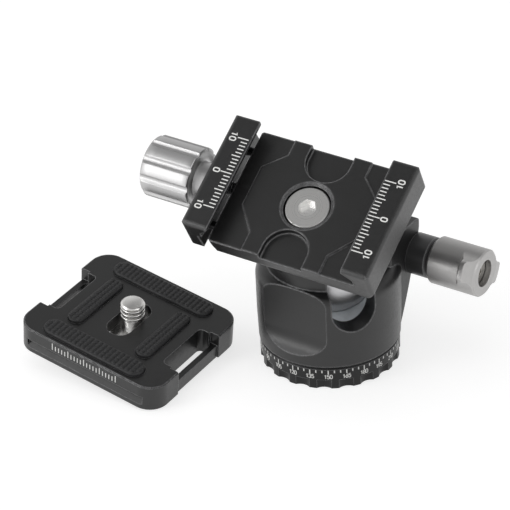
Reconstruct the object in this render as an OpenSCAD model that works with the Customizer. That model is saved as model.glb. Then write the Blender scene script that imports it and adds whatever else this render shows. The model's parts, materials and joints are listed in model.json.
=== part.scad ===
// Compact tripod ball head with a screw-knob quick-release clamp and its separate camera plate.
// Z is up and the origin is the centre of the base's mounting face. The main lock knob points
// along +X and the flat front face looks along -Y. All sizes are in millimetres and degrees.

/* [Pan base] */
// Diameter of the graduated ring
base_d = 36.1; // [34:0.1:37]
// Height of the ring, up to the scale's upper edge
base_h = 6.0; // [5:0.1:8]
// Height of the scalloped grip band at the foot of the ring
grip_h = 2.5; // [1.5:0.1:3]
// Number of scallops round the grip band
grip_count = 20; // [12:1:30]
// Radius of each scallop
grip_r = 3.0; // [2:0.1:5]
// How deep each scallop cuts into the band
grip_depth = 0.75; // [0.3:0.05:1]
// Major diameter of the 3/8 inch tripod thread
tripod_thread_d = 9.525; // [6.35:0.005:10]
// Diameter of the spigot that the housing turns on
spigot_d = 20; // [16:0.1:21]
// Thickness of the steel disc that holds the housing down
retainer_t = 1.4; // [1:0.1:2]
// How far the retaining disc overhangs the spigot
retainer_overhang = 1.5; // [1:0.1:2]

/* [Housing] */
// Largest diameter of the housing
housing_d = 37.0; // [36:0.1:40]
// Diameter at the housing's foot
housing_foot_d = 36.6; // [35:0.1:38]
// Radius of the rounded upper rim
rim_round = 3.2; // [2.4:0.1:3.4]
// How far the rim lies below the ball's centre
rim_drop = 1.1; // [0.8:0.1:3]
// Thickness of the dome that rises from the rim and closes over the ball
dome_t = 0.9; // [0.8:0.1:1.2]
// Thickness of the housing floor that turns on the spigot
floor_t = 3.0; // [2.6:0.1:4]
// Distance of the flat front face from the axis
front_flat = 16.0; // [15.6:0.1:17]
// Height at which the flat face begins
front_flat_z = 14.6; // [12:0.1:18]
// Radius of the scooped ramp below the flat face
front_ramp_r = 7.2; // [4:0.1:10]
// Width of the notch that the stem drops into
notch_w = 11.4; // [11.2:0.1:13]
// Height of the bottom of the notch
notch_z = 16.7; // [15.5:0.1:20]
// Direction of the notch, round from the +X side
notch_angle = -37; // [-60:1:-30]
// Width of the clamping slit at the back
slit_w = 1.2; // [0.8:0.1:2]
// Place of the clamping slit along the lock stud
slit_x = 2; // [0:0.5:4]
// Height of the foot of the clamping slit
slit_z = 19; // [16:0.5:21]

/* [Ball and stem] */
// Diameter of the ball
ball_d = 29; // [28.6:0.1:29.2]
// Height of the ball's centre above the mounting face
ball_z = 28.5; // [28.3:0.1:29.5]
// Diameter of the stem
stem_d = 10.6; // [9:0.1:10.8]
// Diameter of the disc at the top of the stem
stem_disc_d = 14.0; // [12:0.1:15]
// Thickness of the disc at the top of the stem
stem_disc_t = 1.5; // [1:0.1:2.5]
// How far the housing's lip reaches above the ball's centre
lip_above_ball = 6.6; // [5:0.1:7.5]
// Outer diameter of the seat that carries the ball
seat_d = 26.6; // [25:0.1:27]
// Height of the top of the ball seat
seat_top_z = 21.3; // [20:0.1:23]
// Diameter of the friction button under the ball
button_d = 10; // [8:0.1:12]

/* [Pose of the ball] */
// Direction in which the stem leans, round from the front face
lean_direction = 11.25; // [-30:0.25:30]
// Angle by which the stem leans
lean_angle = 30.7; // [0:0.1:34]
// Turn of the clamp about the stem
clamp_turn = -7.3; // [-30:0.1:30]

/* [Main lock] */
// Distance of the lock stud behind the axis
lock_y = 16.8; // [16.8:0.1:18]
// Height of the lock stud below the ball's centre
lock_drop = 3.5; // [2:0.1:5]
// Diameter of the lock stud
lock_stud_d = 4.0; // [3:0.1:4.2]
// Distance of the lock lug's face from the axis
lock_face_x = 15.8; // [14:0.1:18]
// Distance of the nut side lug's face from the axis
nut_face_x = 12.6; // [11:0.1:14]
// Distance of the lugs' back face from the axis
lug_back_y = 19.6; // [19:0.1:22]
// Diameter of the round end of the lugs
lug_boss_d = 10.6; // [10:0.1:12.5]
// How far the lugs flare outwards for each millimetre of height
lug_flare = 0.26; // [0.2:0.01:0.5]
// Diameter of the spacer collar
collar_d = 10.8; // [9:0.1:12]
// Length of the spacer collar
collar_len = 6.0; // [3:0.1:8]
// Diameter of the main knob's barrel
lock_knob_d = 12.4; // [11:0.1:14]
// Length of the main knob
lock_knob_len = 14.0; // [10:0.1:18]
// Distance between the tips of the two wings
wing_span = 21.5; // [17:0.1:24]
// Width of a wing at its tip
wing_tip_w = 5.6; // [4:0.1:6.5]
// Thickness of a wing's tip along the knob's axis
wing_t = 1.4; // [1:0.1:4]
// How far a wing's tip lies behind the knob's end face
wing_sweep = 1.2; // [0.5:0.1:3]
// Diameter of the recess in the knob's end
lock_recess_d = 7.0; // [6.6:0.1:8]
// Depth of the recess in the knob's end
lock_recess_depth = 3.4; // [2:0.1:5]
// Angle of the far wing below the horizontal
wing_angle = 29; // [-90:1:90]

/* [Clamp] */
// Height of the jaws' top above the ball's centre
clamp_rise = 30.6; // [29:0.1:34]
// Depth of the platform below the jaws' top
channel_depth = 5.4; // [5:0.1:6.5]
// Thickness of the clamp's base plate
clamp_plate_t = 5.0; // [4.8:0.1:7]
// Length of the jaws
jaw_len = 32.4; // [28:0.1:44]
// Distance of the fixed jaw's lip from the clamp's axis
fixed_lip_u = 17.5; // [17:0.1:19]
// Width of the fixed jaw's top
fixed_jaw_w = 7.0; // [6:0.1:8]
// Distance of the movable jaw's lip from the clamp's axis
movable_lip_u = 18.8; // [18:0.1:20]
// Width of the movable jaw's top
movable_jaw_w = 7.2; // [6.6:0.1:9]
// Height of the upright edge of a jaw's lip
lip_h = 1.0; // [0.4:0.1:1.2]
// Reach of the lips over the channel
lip_undercut = 2.5; // [2:0.1:3]
// Distance of the base plate's free end from the clamp's axis
plate_end = 20.1; // [19:0.1:20.4]
// Gap between the movable jaw's foot and the base plate
jaw_gap = 2.4; // [2.4:0.1:3]
// How far the bottom of the movable jaw's foot leans in towards the base plate
jaw_toe = 0.4; // [0:0.1:0.6]
// How far the movable jaw closes from its present place
jaw_close = 2.1; // [1:0.1:2.1]
// Depth of the U-shaped scoops in the platform
scoop_depth = 1.8; // [0.5:0.1:2.5]
// Width of the scoops
scoop_w = 11.7; // [8:0.1:13]
// How far the scoops stay clear of the clamp's centre
scoop_clear = 7.2; // [7:0.1:10]
// Depth of the corner pockets in the platform
pocket_depth = 0.5; // [0.3:0.1:1]
// Length of the corner pockets at the near and the far ends of the jaws
pocket_len = [5.2, 4.4]; // [3:0.1:6]
// Diameter of the centre screw's head
centre_head_d = 11.5; // [9:0.1:12]
// Height of the centre screw's head
centre_head_h = 2.6; // [2:0.1:3]
// Diameter of the centre screw's thread
centre_screw_d = 5.0; // [4:0.1:6]
// Length of the centre screw below its head
centre_screw_len = 11; // [9:0.5:14]
// Size of the hexagon socket across its corners
centre_hex_d = 4.6; // [3:0.1:6]
// Depth of the hexagon socket
centre_hex_depth = 1.9; // [1:0.1:2.4]

/* [Clamp knob] */
// Diameter of the clamp knob
clamp_knob_d = 15.9; // [13:0.1:16.5]
// Length of the clamp knob
clamp_knob_len = 14.1; // [10:0.1:17]
// Number of flutes round the clamp knob
flute_count = 10; // [6:1:16]
// Radius of the flutes
flute_r = 1.1; // [0.8:0.05:2]
// Depth of the flutes
flute_depth = 0.7; // [0.4:0.05:1]
// Gap between the jaw and the knob, filled by the hub and its washer
clamp_neck_len = 3.7; // [3:0.1:8]
// Diameter of the knob's hub
hub_d = 9.0; // [7:0.1:11]
// Diameter of the clamp stud
clamp_stud_d = 3.4; // [3:0.1:3.5]
// Diameter of the guide pins
guide_pin_d = 2.2; // [1.6:0.1:2.6]
// Distance of each guide pin from the jaw's end
guide_pin_inset = 5.2; // [3.4:0.1:7]

/* [Camera plate] */
// Length of the camera plate
plate_len = 44.5; // [42:0.1:50]
// Width of the plate's deck and of its dovetail
plate_w = 38; // [37:0.1:39]
// Height of the plate
plate_h = 7.3; // [7:0.1:9]
// Height of the deck's upright side
deck_h = 3.4; // [3:0.1:4]
// Depth of the dovetail groove
groove_depth = 2.5; // [2:0.1:3]
// Radius of the plate's corners
plate_corner_r = 5.5; // [4:0.1:8]
// Length of the part of the groove that ends at the stops
groove_len = 36.5; // [33:0.1:40]
// Width of the screw slot
screw_slot_w = 6.8; // [6.5:0.1:8]
// Length of the screw slot
screw_slot_len = 14.6; // [12:0.1:16]
// Height of the rubber pads above the deck
pad_rise = 1.1; // [0.5:0.1:2]
// Depth of the recesses that hold the pads
pad_seat = 0.8; // [0.5:0.1:1.5]
// Length and width of the two long pads
long_pad = [31, 5.8]; // [3:0.1:36]
// Length and width of the two short pads
short_pad = [20.5, 4.8]; // [3:0.1:24]
// Distance of the long pads from the plate's centre
long_pad_b = 14.7; // [13:0.1:15]
// Distance of the short pads from the plate's centre
short_pad_a = 10.8; // [9.6:0.1:12.5]
// Length of the strap slots
strap_slot_len = 16.4; // [12:0.1:20]
// Width of the strap slots
strap_slot_w = 3.6; // [2:0.1:4]
// Thickness of the rails outside the strap slots
strap_rail_t = 2.1; // [1.6:0.1:3]
// Depth by which the rails lie below the deck
strap_rail_drop = 3.5; // [2:0.1:5]

/* [Camera screw] */
// Major diameter of the 1/4 inch camera thread
camera_thread_d = 6.35; // [6:0.01:6.5]
// Height of the screw's end above the deck
camera_thread_h = 4.6; // [4:0.1:6]
// Height above the deck at which the thread begins
camera_thread_start = 0.3; // [0.2:0.1:1]
// Diameter of the screw's neck, which lies in the slot
camera_neck_d = 4.9; // [4:0.1:5.2]
// Place of the screw along its slot
camera_screw_b = 1.5; // [-4:0.1:4]
// Diameter of the screw's head
camera_head_d = 11.4; // [9:0.1:12]
// Thickness of the slotted retaining washer
slot_washer_t = 0.8; // [0.5:0.1:1.2]
// Wire diameter of the folding D-ring
ring_wire_d = 2.2; // [1.5:0.1:2.2]
// Width of the D-ring, between the middles of its legs
ring_w = 13; // [12.6:0.1:16]
// Length of the D-ring's legs
ring_leg = 7; // [6:0.1:10]
// Angle by which the D-ring hangs out of its folded place
ring_drop_angle = 16; // [0:1:16]

/* [Place of the camera plate] */
// Place of the deck's centre along X
plate_x = -42.8; // [-80:0.1:-40]
// Place of the deck's centre along Y
plate_y = -28.6; // [-60:0.1:-20]
// Height of the deck's centre
plate_z = 11.5; // [11.4:0.1:20]
// Lean of the plate along its length, because it rests on the D-ring
plate_pitch = 8.6; // [0:0.1:10]
// Lean of the plate across its length
plate_roll = 2.7; // [-5:0.1:5]
// Turn of the plate about the vertical
plate_yaw = -0.75; // [-20:0.25:20]

/* [Fits] */
// Radial clearance of a running fit
running_fit = 0.1; // [0.02:0.01:0.15]
// Radial clearance between a screw and its threaded hole
thread_fit = 0.05; // [0.02:0.01:0.1]
// Gap between pieces that move past each other
free_gap = 0.3; // [0.2:0.05:0.5]
// Gap between faces that turn on each other
turn_gap = 0.2; // [0.1:0.05:0.3]

/* [Hidden] */

$fn = 96;
eps = 0.01;
cut = 60;                                   // reach of a tool that cuts right through

// Stack of the panning base
base_r = base_d / 2;
spigot_r = spigot_d / 2;
housing_z = base_h + turn_gap;
floor_top_z = housing_z + floor_t;
retainer_z = floor_top_z + turn_gap;
retainer_r = spigot_r + retainer_overhang;
retainer_pocket_r = retainer_r + free_gap;
seat_z = retainer_z + retainer_t + free_gap;

// Housing
ball_r = ball_d / 2;
cavity_r = ball_r + running_fit;
housing_r = housing_d / 2;
foot_r = housing_foot_d / 2;
foot_taper_h = 8;
edge_break = 0.4;
rim_z = ball_z - rim_drop;
lip_z = ball_z + lip_above_ball;
lip_r = sqrt(cavity_r * cavity_r - lip_above_ball * lip_above_ball);
lip_chamfer = 0.4;
seat_r = seat_d / 2;
seat_floor_t = 0.9;
lock_z = ball_z - lock_drop;
lug_top_z = lip_z - 0.5;
lug_corner_r = 1.2;
lug_chamfer = 1.5;
lug_front_y = 4;
nut_r = 3.6;
nut_len = 4;
nut_recess = 0.5;
drag_screw_r = 1.3;
drag_screw_len = 6.6;
drag_screw_z = housing_z + floor_t / 2;

// Clamp, in its own frame: u across the jaws, v along them, w up, 0 at the jaws' top
stem_top = clamp_rise - channel_depth - clamp_plate_t - running_fit;
platform_w = -channel_depth;
clamp_bottom_w = -(channel_depth + clamp_plate_t);
stud_w = -(channel_depth + clamp_plate_t / 2);
fixed_outer_u = fixed_lip_u + fixed_jaw_w;
movable_outer_u = -(movable_lip_u + movable_jaw_w);
fixed_foot_u = fixed_lip_u + lip_undercut;
movable_foot_u = -(movable_lip_u + lip_undercut);
plate_end_u = -plate_end;
jaw_foot_u = plate_end_u - jaw_gap;
lip_foot_w = -(lip_h + lip_undercut);
jaw_under_w = platform_w + turn_gap;        // underside of the movable jaw's lip
edge_r = 1.0;
fixed_chamfer = 1.6;
movable_chamfer = 0.4;
centre_bore_step = 0.6;
centre_rim_depth = 0.5;
centre_seat_w = platform_w - centre_head_h - 0.7;
// Raised middle of the platform: half widths at the ends and at its shoulders
island_end_u = 10.6;
island_mid_u = 15.8;
island_shoulder_v = [4.5, 6.8];

// Clamp knob
jaw_washer_t = 0.8;
knob_inner_u = movable_outer_u - clamp_neck_len;
knob_outer_u = knob_inner_u - clamp_knob_len;
knob_cone_len = 1.9;
knob_r = clamp_knob_d / 2;
clamp_stud_end_u = -9.5;
guide_pin_len = 10.6;
guide_pin_seat = 0.8;                       // wall of the jaw behind a guide pin
guide_pin_v = jaw_len / 2 - guide_pin_inset;

// Main knob
collar_end_x = lock_face_x + collar_len;
knob_start_x = collar_end_x + turn_gap;
lock_stud_inset = 0.8;                      // how far the stud stays inside the nut side's lug
lock_stud_reach = 8;                        // how far the stud reaches into the knob
lock_screw_d = 2.6;

// Camera plate, in its own frame: a along the plate, b across it, c up, 0 at the deck's top
slot_pocket_c = -3.7;
slot_pocket_w = camera_head_d + 1.0;
slot_travel = (screw_slot_len - screw_slot_w) / 2;
head_top_c = slot_pocket_c - slot_washer_t - 0.1;
head_bottom_c = -plate_h + 0.2;
ring_pivot_c = -plate_h - ring_wire_d / 2 - free_gap;
ring_boss_r = 4.6;
ring_boss_bottom_c = ring_pivot_c - ring_wire_d / 2 - 0.7;

module from_ball() {
    translate([0, 0, ball_z])
        rotate([0, 0, lean_direction])
            rotate([lean_angle, 0, 0])
                children();
}

module in_clamp() {
    from_ball()
        rotate([0, 0, clamp_turn])
            translate([0, 0, clamp_rise])
                children();
}

module in_plate() {
    translate([plate_x, plate_y, plate_z])
        rotate([plate_roll, plate_pitch, plate_yaw])
            children();
}

module on_lock_axis() {
    translate([0, lock_y, lock_z])
        rotate([0, 90, 0])
            children();
}

module on_stud_axis(u) {
    translate([u, 0, stud_w])
        rotate([0, 90, 0])
            children();
}

// Outline with rounded corners, centred
module rounded_rect(size, r) {
    square([size.x - 2 * r, size.y], center = true);
    square([size.x, size.y - 2 * r], center = true);
    for (x = [-1, 1], y = [-1, 1])
        translate([x * (size.x / 2 - r), y * (size.y / 2 - r)])
            circle(r);
}

// Outline with round ends, centred and lying along X
module stadium(length, width) {
    square([length - width, width], center = true);
    for (x = [-1, 1])
        translate([x * (length - width) / 2, 0])
            circle(width / 2);
}

// What is cut off a square corner to round it; the corner points along (x, y)
module corner_cut(x, y, r) {
    difference() {
        translate([x > 0 ? -r : 0, y > 0 ? -r : 0])
            square(r + eps);
        translate([-x * r, -y * r])
            circle(r);
    }
}

// Extrudes an outline of (u, w) along the jaws
module along_v(length) {
    rotate([90, 0, 0])
        linear_extrude(length, center = true)
            children();
}

// ---- Panning base ----

module pan_base() {
    color([0.11, 0.11, 0.12])
        difference() {
            union() {
                cylinder(r = base_r, h = base_h - edge_break);
                translate([0, 0, base_h - edge_break])
                    cylinder(r1 = base_r, r2 = base_r - edge_break, h = edge_break);
                cylinder(r = spigot_r, h = retainer_z);
            }
            for (i = [0:grip_count - 1])
                rotate([0, 0, (i + 0.5) * 360 / grip_count])
                    translate([base_r + grip_r - grip_depth, 0, -eps])
                        cylinder(r = grip_r, h = grip_h + eps);
            translate([0, 0, -eps])
                cylinder(d = tripod_thread_d, h = retainer_z + 2 * eps);
        }
}

module retainer() {
    color([0.62, 0.62, 0.64])
        translate([0, 0, retainer_z])
            difference() {
                cylinder(r = retainer_r, h = retainer_t);
                // blind screw heads
                for (i = [0:2])
                    rotate([0, 0, i * 120])
                        translate([(spigot_r + tripod_thread_d / 2) / 2, 0, retainer_t / 2])
                            cylinder(r = 1.2, h = retainer_t);
            }
}

// ---- Housing ----

// Half section of the housing: foot, rounded rim and the dome over the ball
module housing_body_outline() {
    polygon([
        [0, housing_z], [foot_r - edge_break, housing_z], [foot_r, housing_z + edge_break],
        [housing_r, housing_z + foot_taper_h], [housing_r, rim_z - rim_round],
        [housing_r - rim_round, rim_z], [0, rim_z]
    ]);
    translate([housing_r - rim_round, rim_z - rim_round])
        circle(rim_round);
    intersection() {
        translate([0, ball_z])
            circle(cavity_r + dome_t);
        translate([0, rim_z - rim_round])
            square([cut, lip_z - rim_z + rim_round]);
    }
}

module lug_outline() {
    translate([(lock_face_x - nut_face_x) / 2, (lug_back_y + lug_front_y) / 2])
        rounded_rect([lock_face_x + nut_face_x, lug_back_y - lug_front_y], lug_corner_r);
}

module lugs() {
    lug_h = lug_top_z - housing_z;
    cone_r = foot_r - edge_break;
    intersection() {
        translate([0, 0, housing_z])
            linear_extrude(lug_h)
                lug_outline();
        rotate([90, 0, 90])
            linear_extrude(cut, center = true)
                polygon([
                    [0, housing_z], [lug_back_y, housing_z], [lug_back_y, lug_top_z - lug_chamfer],
                    [lug_back_y - lug_chamfer, lug_top_z], [0, lug_top_z]
                ]);
        translate([0, 0, housing_z])
            cylinder(r1 = cone_r, r2 = cone_r + lug_flare * lug_h, h = lug_h);
    }
    on_lock_axis()
        translate([0, 0, -nut_face_x])
            cylinder(d = lug_boss_d, h = lock_face_x + nut_face_x);
}

// The notch for the stem; r_in is where it begins
module notch(r_in) {
    rotate([0, 0, notch_angle])
        translate([r_in, 0, notch_z + notch_w / 2]) {
            rotate([0, 90, 0])
                cylinder(d = notch_w, h = cut);
            translate([0, -notch_w / 2, 0])
                cube([cut, notch_w, cut]);
        }
}

module front_face_cut() {
    rotate([90, 0, 90])
        linear_extrude(cut, center = true) {
            translate([-front_flat - cut, front_flat_z])
                square([cut, cut]);
            translate([-front_flat - front_ramp_r, front_flat_z])
                circle(front_ramp_r);
        }
}

module housing() {
    color([0.12, 0.12, 0.13])
        difference() {
            union() {
                rotate_extrude()
                    housing_body_outline();
                lugs();
            }
            // ball cavity, seat bore, retainer pocket and spigot bore
            translate([0, 0, ball_z])
                sphere(cavity_r);
            translate([0, 0, lip_z - lip_chamfer])
                cylinder(r1 = lip_r, r2 = lip_r + lip_chamfer, h = lip_chamfer + eps);
            translate([0, 0, seat_z])
                cylinder(r = seat_r, h = seat_top_z - seat_z);
            translate([0, 0, floor_top_z])
                cylinder(r = retainer_pocket_r, h = seat_z - floor_top_z + eps);
            translate([0, 0, housing_z - eps])
                cylinder(r = spigot_r + running_fit, h = floor_t + 2 * eps);
            front_face_cut();
            notch(seat_r / 2);
            // clamping slit through the lugs
            translate([slit_x - slit_w / 2, 0, slit_z])
                cube([slit_w, cut, cut]);
            // lock stud, nut pocket
            on_lock_axis() {
                translate([0, 0, -cut / 2])
                    cylinder(d = lock_stud_d + 2 * running_fit, h = cut);
                translate([0, 0, -nut_face_x - eps])
                    cylinder(r = nut_r, h = nut_len);
            }
            // pan drag screw
            translate([0, spigot_r, drag_screw_z])
                rotate([-90, 0, 0])
                    cylinder(r = drag_screw_r + thread_fit, h = cut);
        }
}

module ball_seat() {
    color([0.66, 0.68, 0.70])
        difference() {
            translate([0, 0, seat_z])
                cylinder(r = seat_r, h = seat_top_z - seat_z);
            translate([0, 0, ball_z])
                sphere(cavity_r);
            translate([0, 0, seat_z + seat_floor_t])
                cylinder(d = button_d + 2 * running_fit, h = cut);
            translate([0, 0, seat_z - eps])
                cylinder(r = 2.5, h = cut);
            notch(seat_r / 2);
        }
}

module pan_drag_screw() {
    color([0.55, 0.55, 0.57])
        translate([0, spigot_r + 0.4, drag_screw_z])
            rotate([-90, 0, 0])
                difference() {
                    cylinder(r = drag_screw_r, h = drag_screw_len);
                    translate([0, 0, drag_screw_len - 1.4])
                        cylinder(r = 0.75, h = 2, $fn = 6);
                }
}

// ---- Main lock ----

module lock_collar() {
    chamfer = 0.8;
    color([0.07, 0.07, 0.08])
        on_lock_axis()
            translate([0, 0, lock_face_x])
                difference() {
                    union() {
                        cylinder(d = collar_d, h = collar_len - chamfer);
                        translate([0, 0, collar_len - chamfer])
                            cylinder(d1 = collar_d, d2 = collar_d - 2 * chamfer, h = chamfer);
                    }
                    translate([0, 0, -eps])
                        cylinder(d = lock_stud_d + 2 * running_fit, h = collar_len + 2 * eps);
                }
}

module lock_nut() {
    color([0.70, 0.70, 0.71])
        on_lock_axis()
            translate([0, 0, -nut_face_x + nut_recess])
                difference() {
                    cylinder(r = nut_r, h = nut_len - nut_recess - eps);
                    translate([0, 0, -eps])
                        cylinder(d = lock_stud_d + 2 * thread_fit, h = nut_len);
                }
}

module lock_stud() {
    color([0.72, 0.72, 0.73])
        on_lock_axis()
            translate([0, 0, -nut_face_x + lock_stud_inset])
                cylinder(d = lock_stud_d, h = nut_face_x - lock_stud_inset + knob_start_x + lock_stud_reach);
}

// End view of the main knob's wings, with hollow fillets towards the barrel
module wing_outline() {
    tip_r = 1.6;
    fillet_r = 6.5;
    fillet_x = wing_span / 2 - tip_r;
    rounded_rect([wing_span, wing_tip_w], tip_r);
    difference() {
        square([2 * fillet_x, lock_knob_d * 0.76], center = true);
        for (x = [-1, 1], y = [-1, 1])
            translate([x * fillet_x, y * (wing_tip_w / 2 + fillet_r)])
                circle(fillet_r);
    }
}

// Side view of the wings: X is the distance from the knob's axis, Y is along it
module wing_side() {
    half = wing_span / 2;
    flank_lean = 5;
    root_r = lock_knob_d / 3;               // where the flanks end, inside the barrel
    flank_r = (half - root_r) / (1 - sin(flank_lean));
    tip_z = lock_knob_len - wing_sweep;
    flank_z = tip_z - wing_t - flank_r * cos(flank_lean);
    difference() {
        polygon([
            [-half, 0], [half, 0], [half, tip_z], [lock_recess_d / 2 + 1, lock_knob_len],
            [-lock_recess_d / 2 - 1, lock_knob_len], [-half, tip_z]
        ]);
        for (s = [-1, 1]) {
            translate([s * (root_r + flank_r), flank_z])
                circle(flank_r);
            translate([s > 0 ? root_r : -root_r - cut, flank_z - cut])
                square(cut);
        }
    }
}

module lock_knob() {
    chamfer = 0.5;
    color([0.56, 0.56, 0.58])
        on_lock_axis()
            rotate([0, 0, 90 - wing_angle])
                translate([0, 0, knob_start_x])
                    difference() {
                        union() {
                            cylinder(d1 = lock_knob_d - 2 * chamfer, d2 = lock_knob_d, h = chamfer);
                            translate([0, 0, chamfer])
                                cylinder(d = lock_knob_d, h = lock_knob_len - 2 * chamfer);
                            translate([0, 0, lock_knob_len - chamfer])
                                cylinder(d1 = lock_knob_d, d2 = lock_knob_d - 2 * chamfer, h = chamfer);
                            intersection() {
                                linear_extrude(lock_knob_len)
                                    wing_outline();
                                rotate([90, 0, 0])
                                    linear_extrude(cut, center = true)
                                        wing_side();
                            }
                        }
                        translate([0, 0, lock_knob_len - lock_recess_depth])
                            cylinder(d = lock_recess_d, h = cut);
                        translate([0, 0, -eps])
                            cylinder(d = lock_stud_d, h = lock_stud_reach + 0.2);
                        translate([0, 0, -eps])
                            cylinder(d = lock_screw_d, h = lock_knob_len);
                    }
}

module lock_knob_screw() {
    seat = lock_knob_len - lock_recess_depth;
    color([0.75, 0.75, 0.76])
        on_lock_axis()
            translate([0, 0, knob_start_x + seat])
                difference() {
                    union() {
                        cylinder(d = lock_recess_d - 2 * free_gap, h = 1.6);
                        translate([0, 0, -2.0])
                            cylinder(d = lock_screw_d - 2 * thread_fit, h = 2.1);
                    }
                    translate([0, 0, 0.7])
                        cylinder(r = 1.5, h = 2, $fn = 6);
                }
}

// ---- Ball ----

module friction_button() {
    button_top_z = ball_z - ball_r + 1.1;
    color([0.85, 0.84, 0.80])
        difference() {
            translate([0, 0, seat_z + seat_floor_t + thread_fit])
                cylinder(d = button_d, h = 4);
            translate([0, 0, ball_z])
                sphere(cavity_r);
            translate([-cut / 2, -cut / 2, button_top_z])
                cube([cut, cut, cut]);
        }
}

module ball() {
    color([0.72, 0.72, 0.74])
        from_ball()
            difference() {
                union() {
                    sphere(ball_r);
                    cylinder(d = stem_d, h = stem_top);
                    translate([0, 0, stem_top - stem_disc_t])
                        cylinder(d = stem_disc_d, h = stem_disc_t);
                }
                translate([0, 0, ball_r * 0.45])
                    cylinder(d = centre_screw_d + 2 * thread_fit, h = cut);
            }
}

// ---- Clamp ----

module fixed_jaw_profile() {
    difference() {
        polygon([
            [plate_end_u, platform_w], [fixed_foot_u, platform_w], [fixed_foot_u, lip_foot_w],
            [fixed_lip_u, -lip_h], [fixed_lip_u, 0], [fixed_outer_u, 0],
            [fixed_outer_u, clamp_bottom_w + fixed_chamfer],
            [fixed_outer_u - fixed_chamfer, clamp_bottom_w],
            [plate_end_u + fixed_chamfer, clamp_bottom_w]
        ]);
        translate([fixed_outer_u, 0])
            corner_cut(1, 1, edge_r);
    }
}

// Block that rounds the upright corners and the top ends of a jaw reaching from u1 to u2
module jaw_envelope(u1, u2) {
    half = jaw_len / 2;
    intersection() {
        translate([(u1 + u2) / 2, 0, clamp_bottom_w])
            linear_extrude(-clamp_bottom_w)
                rounded_rect([u2 - u1, jaw_len], edge_r);
        rotate([90, 0, 90])
            linear_extrude(cut, center = true)
                difference() {
                    translate([-half, clamp_bottom_w])
                        square([jaw_len, -clamp_bottom_w]);
                    for (s = [-1, 1])
                        translate([s * half, 0])
                            corner_cut(s, 1, edge_r);
                }
    }
}

// Raised middle of the platform, between the corner pockets
module platform_island() {
    half = jaw_len / 2;
    near_v = half - pocket_len[0];
    far_v = half - pocket_len[1];
    for (s = [-1, 1])
        polygon([
            [0, -half - 1], [s * island_end_u, -half - 1], [s * island_end_u, -near_v],
            [s * island_mid_u, -island_shoulder_v[0]], [s * island_mid_u, island_shoulder_v[1]],
            [s * island_end_u, far_v], [s * island_end_u, half + 1], [0, half + 1]
        ]);
}

module clamp_base() {
    half = jaw_len / 2;
    stud_hole_len = clamp_stud_end_u + jaw_close + free_gap - plate_end_u;
    color([0.10, 0.10, 0.11])
        in_clamp()
            difference() {
                intersection() {
                    along_v(jaw_len)
                        fixed_jaw_profile();
                    jaw_envelope(plate_end_u, fixed_outer_u);
                }
                // corner pockets
                translate([0, 0, platform_w - pocket_depth])
                    linear_extrude(pocket_depth + eps)
                        difference() {
                            translate([plate_end_u - 1, -half - 1])
                                square([fixed_foot_u - plate_end_u + 1, jaw_len + 2]);
                            platform_island();
                        }
                // scoops, open at both ends of the channel
                for (s = [-1, 1])
                    translate([0, 0, platform_w - scoop_depth])
                        linear_extrude(scoop_depth + eps)
                            translate([0, s * (scoop_clear + scoop_w / 2)]) {
                                circle(d = scoop_w);
                                translate([-scoop_w / 2, s > 0 ? 0 : -cut])
                                    square([scoop_w, cut]);
                            }
                // stepped seat of the centre screw
                translate([0, 0, platform_w - centre_rim_depth])
                    cylinder(d = centre_head_d + 3 * centre_bore_step, h = cut);
                translate([0, 0, centre_seat_w])
                    cylinder(d = centre_head_d + centre_bore_step, h = cut);
                translate([0, 0, clamp_bottom_w - 1])
                    cylinder(d = centre_screw_d + 2 * running_fit, h = cut);
                // stud and guide pin holes
                on_stud_axis(plate_end_u - 1)
                    cylinder(d = clamp_stud_d + 2 * thread_fit, h = stud_hole_len + 1);
                for (s = [-1, 1])
                    translate([0, s * guide_pin_v, 0])
                        on_stud_axis(plate_end_u - 1)
                            cylinder(d = guide_pin_d + 2 * running_fit, h = guide_pin_len);
            }
}

module centre_screw() {
    chamfer = 0.3;
    color([0.80, 0.80, 0.80])
        in_clamp()
            difference() {
                union() {
                    translate([0, 0, centre_seat_w])
                        cylinder(d = centre_head_d, h = centre_head_h - chamfer);
                    translate([0, 0, centre_seat_w + centre_head_h - chamfer])
                        cylinder(d1 = centre_head_d, d2 = centre_head_d - 2 * chamfer, h = chamfer);
                    translate([0, 0, centre_seat_w - centre_screw_len])
                        cylinder(d = centre_screw_d, h = centre_screw_len + eps);
                }
                translate([0, 0, centre_seat_w + centre_head_h - centre_hex_depth])
                    cylinder(d = centre_hex_d, h = centre_hex_depth + 1, $fn = 6);
            }
}

module movable_jaw_profile() {
    difference() {
        polygon([
            [-movable_lip_u, 0], [-movable_lip_u, -lip_h], [movable_foot_u, lip_foot_w],
            [movable_foot_u, jaw_under_w], [jaw_foot_u, jaw_under_w], [jaw_foot_u + jaw_toe, clamp_bottom_w],
            [movable_outer_u + movable_chamfer, clamp_bottom_w],
            [movable_outer_u, clamp_bottom_w + movable_chamfer], [movable_outer_u, 0]
        ]);
        translate([movable_outer_u, 0])
            corner_cut(-1, 1, edge_r);
    }
}

module movable_jaw() {
    color([0.10, 0.10, 0.11])
        in_clamp()
            difference() {
                intersection() {
                    along_v(jaw_len)
                        movable_jaw_profile();
                    jaw_envelope(movable_outer_u, -movable_lip_u);
                }
                on_stud_axis(movable_outer_u - 1)
                    cylinder(d = clamp_stud_d + 2 * running_fit, h = movable_jaw_w + 2);
                for (s = [-1, 1])
                    translate([0, s * guide_pin_v, 0])
                        on_stud_axis(movable_outer_u + guide_pin_seat)
                            cylinder(d = guide_pin_d, h = movable_jaw_w);
            }
}

module guide_pin(side) {
    color([0.75, 0.75, 0.76])
        in_clamp()
            translate([0, side * guide_pin_v, 0])
                on_stud_axis(movable_outer_u + guide_pin_seat)
                    cylinder(d = guide_pin_d, h = guide_pin_len);
}

module guide_pin_near() { guide_pin(-1); }

module guide_pin_far() { guide_pin(1); }

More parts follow.
